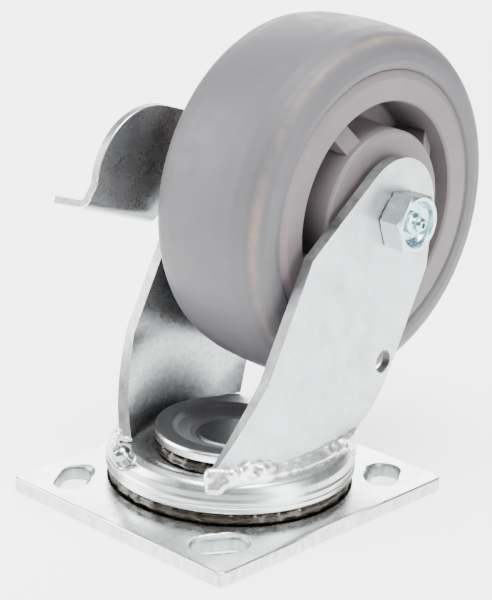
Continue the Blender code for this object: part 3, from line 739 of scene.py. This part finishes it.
def leg(side, name, node):
    """A fork leg: outer and inner grids joined round a rim, with rolled-over edges."""
    columns = 28
    bm = bmesh.new()
    grids = []
    for depth in (0.0, LEG_T):
        rows = []
        for z in leg_heights():
            front, rear = leg_edges(z)
            row = [bm.verts.new(leg_point(front + (rear - front) * i / columns, z, depth, side))
                   for i in range(columns + 1)]
            rows.append(row)
        for below, above in zip(rows, rows[1:]):
            for i in range(columns):
                face = bm.faces.new((below[i], below[i + 1], above[i + 1], above[i]))
                face.material_index = 2 if depth else 0
        grids.append(rows)
    loops = []
    for rows in grids:
        up = [row[-1] for row in rows]
        down = [row[0] for row in reversed(rows)]
        loops.append(rows[0] + up[1:] + rows[-1][-2::-1] + down[1:-1])
    for i in range(len(loops[0])):
        k = (i + 1) % len(loops[0])
        rim = bm.faces.new((loops[0][i], loops[0][k], loops[1][k], loops[1][i]))
        rim.material_index = 1
    # The near leg's cut edge takes the painted-shade copy, the far leg's the painted-light copy of the
    # same sheared zinc.
    edge = NEAR_EDGE_SHADED if side > 0 else FAR_EDGE_LIT
    # Inner faces (material 2) take the zinc darkened as painted shade.
    made = mesh_object(name, bm, [ZINC, edge, ZINC_INNER_SHADED, EDGE_HIGHLIGHT], 40.0)
    # Rounded corners (material 3) take the near-white painted highlight.
    soften(made, 0.4, corner=3)
    cut(made, hole_cutter((AXLE.y, AXLE.z), EYE_HOLE_R))
    cut(made, hole_cutter(LEG_HOLE, LEG_HOLE_R))
    settle(made, "fork", "zinc_plate", node)


def hole_cutter(centre, radius):
    """A round punch along X that leaves a softened lip on the faces of both legs."""
    rings = []
    inner = LEG_OUT_X - LEG_T
    stations = [(inner - 2, 0.9), (inner - 0.02, 0.5), (inner + 0.5, 0.0), (LEG_OUT_X - 0.6, 0.0),
                (LEG_OUT_X + 0.02, 0.5), (LEG_OUT_X + 2, 0.9)]
    mirrored = [(-x, flare) for x, flare in reversed(stations)]
    for x, flare in mirrored + stations:
        rings.append([(x, y, z) for y, z in arc(centre, radius + flare, 0.0, 352.5, 47)])
    return skinned("hole_cutter", rings, ZINC_EDGE)


def fuse(name, blobs, finish, grain):
    """Melt a cloud of round blobs into one lumpy skin."""
    bm = bmesh.new()
    for place, radius in blobs:
        bmesh.ops.create_icosphere(bm, subdivisions=2, radius=radius, matrix=Matrix.Translation(place))
    made = mesh_object(name, bm, finish, 60.0)
    melt = made.modifiers.new("melt", "REMESH")
    melt.mode = "VOXEL"
    melt.voxel_size = grain * MM
    melt.use_smooth_shade = True
    relax = made.modifiers.new("relax", "SMOOTH")
    relax.factor = 0.5
    relax.iterations = 22
    bake(made)
    made.data.shade_smooth()
    return made


def weld(side, name, node, seed):
    """A hand-laid fillet: a puddle in front (small on the far leg), two ridges, a rough tail."""
    random.seed(seed)
    front, rear = leg_edges(LEG_FOOT_Z)
    length = rear - front
    blobs = []

    def lay(share, rise, out, size):
        """Drop a blob at a share of the foot's length, on the base's shoulder."""
        x, y, _ = leg_point(front + length * share, LEG_FOOT_Z + max(rise, 0.0), -out, side)
        r = math.hypot(x, y)
        pull = min(WELD_REACH / r, 1.0)
        low_z = min(shoulder_height(min(r, WELD_REACH)), LEG_FOOT_Z)
        away = min(out / 2.2, 1.0)
        z = LEG_FOOT_Z + (low_z - LEG_FOOT_Z) * away + rise
        blobs.append(((x * pull, y * pull, z), size))

    puddle = 1.0 if side > 0 else 0.3
    for i in range(WELD_STEPS + 1):
        share = i / WELD_STEPS
        start = (1.0 - smoothstep(*PUDDLE_END, share)) * puddle
        tail = smoothstep(*TAIL_START, share)
        ripple = 0.10 * math.sin(share * 80.0)
        lay(share, 1.9 + 0.7 * start, 0.2, 1.5 + 0.6 * start + ripple)
        lay(share, 0.4, 2.3 + 0.5 * start, 1.6 + 0.5 * start - 0.3 * tail - ripple)
        lay(share, 1.0, 1.2, 1.5 + 0.6 * start)
        lay(share, -1.2, 0.9, 1.3)
        if start > 0.4 and i % 8 == 0:
            lay(share, random.uniform(1.2, 3.2), random.uniform(0.6, 2.2), random.uniform(2.2, 2.9))
        if tail > 0.5:
            lay(share, random.uniform(0.4, 3.8), random.uniform(0.0, 1.6), random.uniform(0.7, 1.2))
            lay(share, random.uniform(-0.1, 1.6), random.uniform(1.4, 3.2), random.uniform(0.7, 1.3))
    for _ in range(5):
        lay(random.uniform(0.16, 0.22), random.uniform(3.6, 4.4), random.uniform(0.0, 0.6),
            random.uniform(1.9, 2.3) * (0.5 + 0.5 * puddle))
    for _ in range(6 if side > 0 else 0):
        lay(random.uniform(0.03, 0.08), random.uniform(0.0, 1.0), random.uniform(1.4, 3.4),
            random.uniform(2.0, 2.5))
    made = fuse(name, blobs, WELD, 0.5)
    settle(made, "fork", "weld_metal", node)
    spatter(side, name + "_spatter", seed)


def spatter(side, name, seed):
    """Fine droplets frozen on the base and on the foot of the leg."""
    random.seed(seed + 40)
    front, rear = leg_edges(LEG_FOOT_Z)
    bm = bmesh.new()
    for _ in range(SPATTER_COUNT):
        blank_y = random.uniform(front, rear)
        if random.random() < 0.6:
            spot = Vector(leg_point(blank_y, BASE_TOP, random.uniform(-5.0, -3.4), side))
            reach = Vector((spot.x, spot.y)).length
            spot.xy *= min(WELD_REACH / reach, 1.0)
            spot.z = shoulder_height(min(reach, WELD_REACH))
        else:
            spot = Vector(leg_point(blank_y, LEG_FOOT_Z + random.uniform(4.5, 9.0), 0.0, side))
        size = random.uniform(0.12, 0.32)
        bmesh.ops.create_icosphere(bm, subdivisions=1, radius=size, matrix=Matrix.Translation(spot))
    settle(mesh_object(name, bm, WELD, 60.0), "fork", "weld_metal")


def inner_weld(side, name, seed):
    """The small bead inside a leg's front edge, seen on the far leg."""
    random.seed(seed)
    front = leg_edges(LEG_FOOT_Z)[0]
    blobs = []
    for i in range(9):
        depth = LEG_T * (i / 8 * 1.1 - 0.1)
        size = random.uniform(0.8, 1.2)
        blank_y = front - 0.2 + random.uniform(-0.4, 0.4)
        blobs.append((leg_point(blank_y, LEG_FOOT_Z + 0.4 + 0.3 * size, depth, side), size))
    settle(fuse(name, blobs, WELD, 0.3), "fork", "weld_metal")


# ---- grease fittings

FITTING_SEAT_R, FITTING_SEAT_Z, FITTING_BEARING, FITTING_LEAN = 41.1, 18.5, -105.0, 38.0


def swivel_fitting():
    """Drive fitting leaning outwards at the rim, with a domed nose and a small inlet."""
    profile = [(0.0, 6.8), (0.7, 6.8, 0.2), (0.8, 7.5, 0.2), (1.6, 7.4, 0.5), (2.8, 6.4, 1.2),
               (3.4, 4.6, 0.8), (3.45, 1.6, 0.3), (3.2, 1.35, 0.1), (3.9, 1.05, 0.2), (3.9, 0.3),
               (2.2, 0.3), (2.2, -3.5), (0.0, -3.5)]
    bearing = math.radians(FITTING_BEARING)
    seat = Matrix.Translation(about_z(FITTING_SEAT_R, bearing, FITTING_SEAT_Z))
    lean = seat @ Matrix.Rotation(bearing, 4, "Z") @ Matrix.Rotation(math.radians(FITTING_LEAN), 4, "Y")

    def placed(r, turn, z):
        return tuple(lean @ Vector(about_z(r, turn, z)))

    outline = filleted(profile, closed=False, steps=4)
    made = lathe("swivel_fitting_skin", outline, 64, FITTING_STEEL, placed, closed=False)
    settle(made, "fork", "bright_zinc", "swivel_grease_fitting")


def axle_fitting():
    """The grease nipple in the bolt head: collar, waist, ball end and a dark inlet."""
    tip = high("axle_grease_fitting").x
    profile = [(0.0, tip - 2.2), (0.85, tip - 2.1), (0.95, tip, 0.1), (1.7, tip - 0.1, 0.4),
               (2.55, tip - 1.1, 0.9), (2.6, tip - 2.0, 0.6), (1.9, tip - 2.6, 0.4), (2.3, tip - 3.3, 0.3),
               (3.9, tip - 4.0, 0.8), (3.9, 39.6), (1.9, 39.6), (1.9, 33.0), (0.0, 33.0)]
    outline = filleted(profile, closed=False, steps=4)
    made = lathe("axle_fitting_skin", outline, 56, CYAN_ZINC, about_axle, closed=False)
    settle(made, "fork", "bright_zinc", "axle_grease_fitting")


# ---- axle bolt and nut

HEX_AF, HEX_TURN, HEX_FOOT_R, CROWN_R, CHAMFER = 19.05, -9.0, 9.9, 9.45, 36.0
SHAFT_R, THREAD_R, THREAD_ROOT_R, PITCH, TURNS_SHOWN = 6.35, 6.3, 5.75, 1.27, 4
RECESS_R, RECESS_FLOOR_X, RECESS_FROM_X = 8.9, 39.35, 38.0


def hex_radius(turn):
    """Distance from the axis to the hexagon's side in a direction."""
    local = (math.degrees(turn) - HEX_TURN) % 60.0 - 30.0
    return HEX_AF / 2 / math.cos(math.radians(local))


def hex_rings(inner_x, outer_x, steps):
    """Rings from the bearing face to the crown, cut back by the chamfer cone."""
    way = 1.0 if outer_x > inner_x else -1.0
    turns = [2 * math.pi * i / steps + math.radians(HEX_TURN) for i in range(steps)]
    slope = math.tan(math.radians(CHAMFER))

    def ring(radius_of, x_of):
        return [about_axle(radius_of(t), t, x_of(t)) for t in turns]

    def chamfer_start(turn):
        return outer_x - way * (hex_radius(turn) - CROWN_R) * slope

    return [ring(lambda t: min(hex_radius(t), HEX_FOOT_R), lambda t: inner_x),
            ring(hex_radius, lambda t: inner_x + way * 0.35),
            ring(hex_radius, chamfer_start),
            ring(lambda t: CROWN_R, lambda t: outer_x)], turns


def axle_bolt():
    """Hexagon head with a dished recess; the shaft ends in a thread past the nut."""
    rings, turns = hex_rings(LEG_OUT_X + 0.3, HEAD_OUT_X, 240)
    recess = filleted([(9.2, HEAD_OUT_X), (8.1, HEAD_OUT_X - 0.1, 0.5), (7.7, 41.0, 0.9),
                       (6.6, RECESS_FLOOR_X, 1.2), (2.4, RECESS_FLOOR_X, 0.2), (2.3, 36.5)],
                      closed=False, steps=5)
    rings += [[about_axle(r, t, x) for t in turns] for r, x in recess]
    rings.append([about_axle(0.3, t, 36.0) for t in turns])
    thread = []
    for i in range(TURNS_SHOWN):
        x = AXLE_END_X + 0.9 + PITCH * i
        thread += [(THREAD_R, x + PITCH * 0.55), (THREAD_ROOT_R, x + PITCH * 0.05)]
    shaft = [(9.0, LEG_OUT_X + 0.3), (SHAFT_R, LEG_OUT_X + 0.3), (SHAFT_R, NUT_X[1])]
    shaft += sorted(thread, key=lambda p: -p[1]) + [(5.4, AXLE_END_X), (0.4, AXLE_END_X)]
    shaft_rings = [[about_axle(r, t, x) for t in turns] for r, x in reversed(shaft)]
    made = skinned("axle_bolt_skin", shaft_rings + rings, [BRIGHT_ZINC, CYAN_ZINC], smooth_angle=26.0)
    for face in made.data.polygons:
        x, y, z = face.center / MM
        if x > RECESS_FROM_X and math.hypot(y - AXLE.y, z - AXLE.z) < RECESS_R:
            face.material_index = 1
    settle(made, "fork", "bright_zinc", "axle_bolt")


def axle_nut():
    """Plain hexagon nut with a countersunk bore."""
    low_x, high_x = NUT_X
    rings, turns = hex_rings(high_x, low_x, 180)
    bore = filleted([(8.4, low_x), (7.4, low_x, 0.2), (6.5, low_x + 0.9, 0.2), (6.5, high_x - 0.6, 0.2),
                     (7.2, high_x, 0.1)], closed=False, steps=3)
    rings += [[about_axle(r, t, x) for t in turns] for r, x in bore]
    made = skinned("axle_nut_skin", rings, BRIGHT_ZINC, True, 26.0)
    settle(made, "fork", "bright_zinc", "axle_nut")


def flat_washer():
    """The nut's washer."""
    low_x, high_x = NUT_WASHER_X
    corners = [(13.0, high_x, 0.3), (13.0, low_x, 0.5), (6.8, low_x, 0.3), (6.8, high_x, 0.2)]
    made = lathe("nut_washer_skin", filleted(corners, steps=3), 96, BRIGHT_ZINC, about_axle)
    settle(made, "fork", "bright_zinc", "nut_washer")


# ---- wheel

CORE_RIM_X = 25.3
RIB_TURNS = (120.0, 210.0, 300.0, 390.0)
RIB_STATIONS = ((-3.9, 0.45), (-3.75, 0.15), (-3.45, 0.0), (3.45, 0.0), (3.75, 0.15), (3.9, 0.45))


def tread():
    """Rubber tyre: crowned, with a soft shoulder line and a sloping wall down to the core."""
    r, x = TREAD_R, TREAD_X
    half = [(r, 0.0, 0), (r - 0.25, 7.0, 20), (r - 0.8, 14.0, 12), (r - 2.0, 19.6, 6),
            (r - 4.0, 22.4, 3.5), (r - 7.6, x - 0.5, 5), (r - 11.0, x, 3),
            (50.6, x - 0.35, 0.7), (49.85, x - 1.4, 0.2)]
    inside = [(49.85, 23.4), (49.75, 13.1), (52.0, 11.1)]
    profile = list(reversed(half)) + [(a, -b, c) for a, b, c in half[1:]]
    profile += [(a, -b) for a, b in inside] + list(reversed(inside))
    made = lathe("tread_skin", filleted(profile, steps=7), 288, RUBBER, about_axle, smooth_angle=50.0)
    settle(made, "wheel", "grey_rubber", "tread")


def wheel_core():
    """Moulded core: rim, drafted recess, ribs and hub boss with soft edges."""
    outer = [(39.6, CORE_RIM_X, 0.7), (47.0, CORE_RIM_X, 0.5), (49.8, 24.1, 0.5), (49.7, 13.0),
             (51.8, 11.0)]
    inner = [(16.0, BOSS_X, 0.5), (28.6, BOSS_X, 0.9), (29.3, BOSS_X - 1.2, 0.9), (30.2, 5.0, 1.5),
             (37.8, 5.0, 1.5), (38.9, CORE_RIM_X - 0.9, 0.7)]
    profile = outer + [(r, -x, *fillet) for r, x, *fillet in reversed(outer)]
    profile += [(r, -x, *fillet) for r, x, *fillet in reversed(inner)] + inner
    made = lathe("core_skin", filleted(profile, steps=6), 216, CORE, about_axle)
    for turn in RIB_TURNS:
        cut(made, rib(math.radians(turn)), "UNION")
    shade(made.data, 35.0)
    settle(made, "wheel", "core_plastic", "wheel_core")


def rib(turn):
    """A gusset from the hub's face down to the recess wall, on both sides of the web."""
    edge = filleted([(28.7, -24.8), (39.6, -17.7), (39.6, 17.7), (28.7, 24.8)])
    rings = []
    for across, inset in RIB_STATIONS:
        ring = []
        for away, x in edge:
            lowered = x - math.copysign(inset, x)
            y = away * math.cos(turn) - across * math.sin(turn)
            z = away * math.sin(turn) + across * math.cos(turn)
            ring.append((lowered, AXLE.y + y, AXLE.z + z))
        rings.append(ring)
    return skinned("rib_tool", rings, CORE)


# ---- brake lever

LEVER_T, LEVER_TILT, LEVER_BOSS_R, LEVER_BORE_R = 3.2, 19.3, 17.0, 6.7
PADDLE_CENTRE, PADDLE_R = (48.5, -9.1), 25.3
PEDAL_FROM, PEDAL_TO, PEDAL_LOW, PEDAL_OUT = 39.0, 74.0, -25.2, 18.6
PEDAL_BEND_R, PEDAL_OPEN, BEND_STEPS = 4.8, 6.7, 10


def lever_place(u, w, out):
    """Lever coordinates: along towards the tip, up, and outwards from its inner face."""
    tilt = math.radians(LEVER_TILT)
    y = AXLE.y - u * math.cos(tilt) + w * math.sin(tilt)
    z = AXLE.z + u * math.sin(tilt) + w * math.cos(tilt)
    return (LEVER_IN_X - out, y, z)


def lever_outline():
    """The flat blank above the bend, from the tip round the boss to the pedal's heel."""
    bend = PEDAL_LOW + PEDAL_BEND_R
    meet = math.degrees(math.asin((bend + 5.0 - PADDLE_CENTRE[1]) / PADDLE_R))
    outline = arc(PADDLE_CENTRE, PADDLE_R, 90.0, meet, 36)
    last = outline[-1]
    outline += [(last[0] + 0.1, bend + 3.2), (PEDAL_TO - 0.35, bend + 1.4), (PEDAL_TO, bend)]
    corner = len(outline) - 1
    outline.append((PEDAL_FROM, bend))
    outline += [(PEDAL_FROM - 1.2, bend + 0.5), (PEDAL_FROM - 2.4, bend + 1.6)]
    outline += arc((0.0, 0.0), LEVER_BOSS_R, -52.0, -270.0, 60)
    return outline, corner


def brake_lever():
    """Stamped paddle with its pedal turned outwards through a round bend."""
    outline, corner = lever_outline()
    bm = bmesh.new()
    verts = [bm.verts.new(lever_place(u, w, 0.0)) for u, w in outline]
    bm.faces.new(verts)
    drop = math.radians(90.0 - PEDAL_OPEN)
    turns = [drop * i / BEND_STEPS for i in range(1, BEND_STEPS + 1)]
    bend = [(PEDAL_BEND_R * math.sin(turn), PEDAL_BEND_R * (1 - math.cos(turn))) for turn in turns]
    flat = PEDAL_OUT - bend[-1][1]
    bend += [(bend[-1][0] + flat * t * math.cos(drop), bend[-1][1] + flat * t * math.sin(drop))
             for t in (0.5, 0.86)]
    tip = (bend[-1][0] + flat * 0.14 * math.cos(drop), bend[-1][1] + flat * 0.14 * math.sin(drop))
    strip = [verts[corner], verts[corner + 1]]
    start = PEDAL_LOW + PEDAL_BEND_R
    for fall, out in bend:
        following = [bm.verts.new(lever_place(u, start - fall, out)) for u in (PEDAL_TO, PEDAL_FROM)]
        bm.faces.new((strip[1], strip[0], following[0], following[1]))
        strip = following
    ends = [bm.verts.new(lever_place(u, start - tip[0], tip[1]))
            for u in (PEDAL_TO - 2.0, PEDAL_FROM + 2.0)]
    bm.faces.new((strip[1], strip[0], ends[0], ends[1]))
    bmesh.ops.recalc_face_normals(bm, faces=bm.faces)
    bm.faces.ensure_lookup_table()
    if bm.faces[0].normal.x < 0.0:
        bmesh.ops.reverse_faces(bm, faces=bm.faces)
    # Cut edges (material 1) take the sheared zinc darkened as painted shade.
    made = linked_mesh("lever_skin", bm, [ZINC_LEVER, LEVER_EDGE_SHADED, EDGE_HIGHLIGHT])
    made.data.shade_smooth()
    shell = made.modifiers.new("sheet", "SOLIDIFY")
    shell.thickness = LEVER_T * MM
    shell.offset = -1.0
    shell.use_even_offset = True
    shell.material_offset_rim = 1
    bake(made)
    cut(made, lever_bore())
    # Rounded corners (material 2) take the near-white painted highlight.
    soften(made, 0.4, angle=60.0, corner=2)
    settle(made, "lever", "zinc_plate", "brake_lever")


def lever_bore():
    """Punch for the hole that the lever turns on."""
    circle = arc((AXLE.y, AXLE.z), LEVER_BORE_R, 0.0, 352.5, 47)
    rings = [[(x, y, z) for y, z in circle] for x in (-50.0, -30.0)]
    return skinned("lever_bore_tool", rings, ZINC_EDGE)


# ---- CAD pieces that keep their shape

def finish_hidden():
    """Procedural finishes for the bearing and brake pieces that keep their CAD shape."""
    finishes = {"spanner_bushing": WASHER_RIM, "roller_cage": NYLON, "near_bearing_washer": DARK_STEEL,
                "far_bearing_washer": DARK_STEEL, "brake_cam_washer": ZINC_PRESSED}
    for name, node in frame["nodes"].items():
        finish = finishes.get(name)
        if name.startswith("roller_") and name != "roller_cage":
            finish = WASHER_RIM
        if finish is None:
            continue
        node.data.materials.clear()
        node.data.materials.append(finish)
        shade(node.data, 40.0)


# ---- studio

FLOOR_HALF, FLOOR_GAP = 4000.0, 0.2


def floor():
    """Plain pale floor that glows enough to stay light under the part."""
    bm = bmesh.new()
    bmesh.ops.create_grid(bm, x_segments=1, y_segments=1, size=FLOOR_HALF)
    made = Nodes("pale_floor", 0.0, 0.75)
    made.colour(made.ramp(made.noise(3.0), (0.3, (0.90, 0.90, 0.90)), (0.7, (0.93, 0.93, 0.93))))
    made.shader.inputs["Emission Color"].default_value = (1.0, 1.0, 1.0, 1.0)
    made.shader.inputs["Emission Strength"].default_value = 1.7
    plane = mesh_object("floor", bm, made.material)
    plane.location.z = -FLOOR_GAP * MM


def camera():
    """A long lens looking down on a plate corner, slightly rolled."""
    place, target = Vector((0.4615, -0.4975, 0.31275)), Vector((0.0082, -0.0043, 0.07445))
    back = (place - target).normalized()
    right = Vector((0.0, 0.0, 1.0)).cross(back).normalized()
    up = back.cross(right)
    roll = math.radians(2.44)
    tilted_right = math.cos(roll) * right + math.sin(roll) * up
    tilted_up = back.cross(tilted_right)
    lens = bpy.data.cameras.new("camera")
    lens.lens = 125.94
    lens.sensor_width = 36.0
    lens.clip_start = 0.01
    view = bpy.data.objects.new("camera", lens)
    turn = Matrix((tilted_right, tilted_up, back)).transposed().to_4x4()
    view.matrix_world = Matrix.Translation(place) @ turn
    bpy.context.scene.collection.objects.link(view)
    bpy.context.scene.camera = view


def softbox(name, place, size, power, target=(0.0, 0.02, 0.07)):
    """A rectangular lamp aimed at the middle of the part."""
    light = bpy.data.lights.new(name, "AREA")
    light.shape = "RECTANGLE"
    light.size, light.size_y = size
    light.energy = power
    lamp = bpy.data.objects.new(name, light)
    lamp.location = place
    lamp.rotation_euler = (Vector(place) - Vector(target)).to_track_quat("Z", "Y").to_euler()
    bpy.context.scene.collection.objects.link(lamp)


def studio():
    """Soft surroundings, a lamp overhead and one on three sides."""
    world = bpy.data.worlds.new("studio")
    bpy.context.scene.world = world
    world.use_nodes = True
    backdrop = world.node_tree.nodes["Background"]
    backdrop.inputs["Color"].default_value = (0.93, 0.95, 0.97, 1.0)
    backdrop.inputs["Strength"].default_value = 0.35
    softbox("overhead", (0.1, -0.1, 1.2), (0.9, 0.9), 40.0)
    softbox("left_box", (-0.9, -0.7, 0.55), (0.7, 0.9), 22.0)
    softbox("right_box", (1.0, 0.1, 0.45), (0.5, 0.9), 12.0)
    softbox("back_box", (-0.85, 0.95, 0.55), (1.1, 0.8), 22.0)


# ---- build

camera()
floor()
studio()
mounting_plate()
yoke_base()
retainer()
kingpin()
ball_row("lower_balls_skin", "lower_ball_row", "lower_balls", LOWER_PITCH, LOWER_Z, 3.95, LOWER_COUNT)
ball_row("upper_balls_skin", "upper_ball_row", "upper_balls", UPPER_PITCH, UPPER_Z, 3.17, UPPER_COUNT)
grease_ring("lower_grease", "lower_balls", LOWER_PITCH, LOWER_Z, 4.15, 2.9, LOWER_COUNT, 1.0)
grease_ring("upper_grease", "upper_balls", UPPER_PITCH, UPPER_Z, 3.5, 2.4, UPPER_COUNT, 2.0)
for side, word in ((1, "near"), (-1, "far")):
    leg(side, word + "_leg_skin", word + "_leg")
    weld(side, word + "_weld_skin", word + "_leg_weld", 3.0 + side)
    inner_weld(side, word + "_front_weld", 6.0 + side)
swivel_fitting()
axle_bolt()
axle_fitting()
axle_nut()
flat_washer()
brake_lever()
wheel_core()
tread()
finish_hidden()
